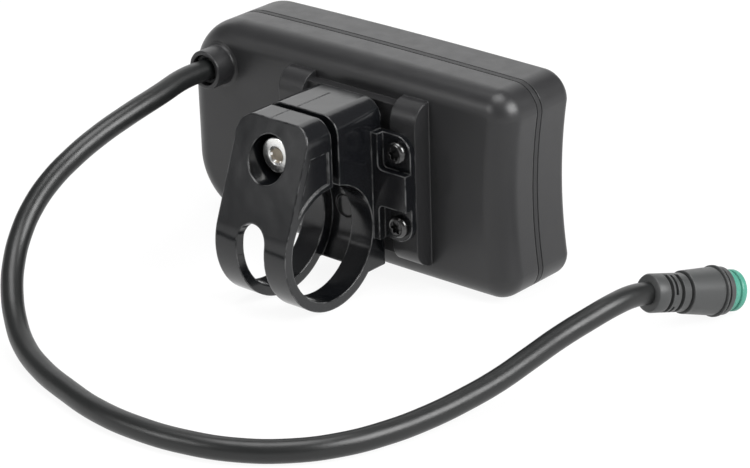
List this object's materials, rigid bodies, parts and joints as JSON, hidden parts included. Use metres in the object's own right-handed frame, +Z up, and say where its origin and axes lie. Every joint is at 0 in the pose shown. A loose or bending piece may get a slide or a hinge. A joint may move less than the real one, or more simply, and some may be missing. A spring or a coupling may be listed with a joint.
{
  "type": "e-bike handlebar display",
  "caption": "Slim sealed e-bike display housing on a split handlebar clamp, with press keys, row lights and a short lead ending in a round plug.",
  "frame": {"origin": "centre of the handlebar clamp's bore", "axes": "+X along the handlebar towards the housing's round end with the cable boss, +Y from the front panel towards the clamp side, +Z up"},
  "size_m": [0.1158, 0.1073, 0.0418],
  "materials": {
    "clamp_plastic": "glossy moulded black",
    "screw_steel": "satin stainless",
    "black_steel": "black coated",
    "housing_plastic": "fine satin grain",
    "seal_rubber": "matt",
    "film": "smooth",
    "key_plastic": "satin",
    "plunger_plastic": "satin",
    "guide_clear": "clear moulded",
    "light_chip": "smooth",
    "board": "coated laminate",
    "chip_plastic": "matt",
    "header_plastic": "satin",
    "wire_sleeve": "smooth, five colours",
    "lead_rubber": "satin jacket",
    "plug_plastic": "satin overmould",
    "nose_plastic": "satin",
    "pin_metal": "plated"
  },
  "bodies": {
    "display": {"clamp_bracket": "clamp_plastic", "clamp_nut": "screw_steel", "flange_screws": "black_steel", "rear_shell": "housing_plastic", "shell_seal": "seal_rubber", "front_shell": "housing_plastic", "shell_screws": "screw_steel", "front_film": "film", "button_seals": "seal_rubber", "switch_bodies": "chip_plastic", "light_guides": "guide_clear", "light_chips": "light_chip", "circuit_board": "board", "board_screws": "screw_steel", "controller_chip": "chip_plastic", "supply_parts": "chip_plastic", "lead_header": "header_plastic", "lead_wires": "wire_sleeve", "cable_gland": "seal_rubber", "lead_tail": "lead_rubber", "lead": "lead_rubber", "plug_body": "plug_plastic", "plug_nose": "nose_plastic", "plug_core": "seal_rubber", "plug_pins": "pin_metal"},
    "power_key": {"power_button": "key_plastic", "power_plunger": "plunger_plastic"},
    "plus_key": {"plus_button": "key_plastic", "plus_plunger": "plunger_plastic"},
    "minus_key": {"minus_button": "key_plastic", "minus_plunger": "plunger_plastic"},
    "clamp_bolt": {"clamp_screw": "screw_steel"}
  },
  "joints": [
    {"name": "power_press", "type": "slide", "parent": "display", "child": "power_key", "axis": [0, 1, 0], "range_m": [0, 0.00035], "stiffness_N_per_m": 800},
    {"name": "plus_press", "type": "slide", "parent": "display", "child": "plus_key", "axis": [0, 1, 0], "range_m": [0, 0.00035], "stiffness_N_per_m": 800},
    {"name": "minus_press", "type": "slide", "parent": "display", "child": "minus_key", "axis": [0, 1, 0], "range_m": [0, 0.00035], "stiffness_N_per_m": 800},
    {"name": "clamp_screw_turn", "type": "hinge", "parent": "display", "child": "clamp_bolt", "pos_m": [0, 0, 0.017], "axis": [0, 1, 0], "continuous": true}
  ]
}
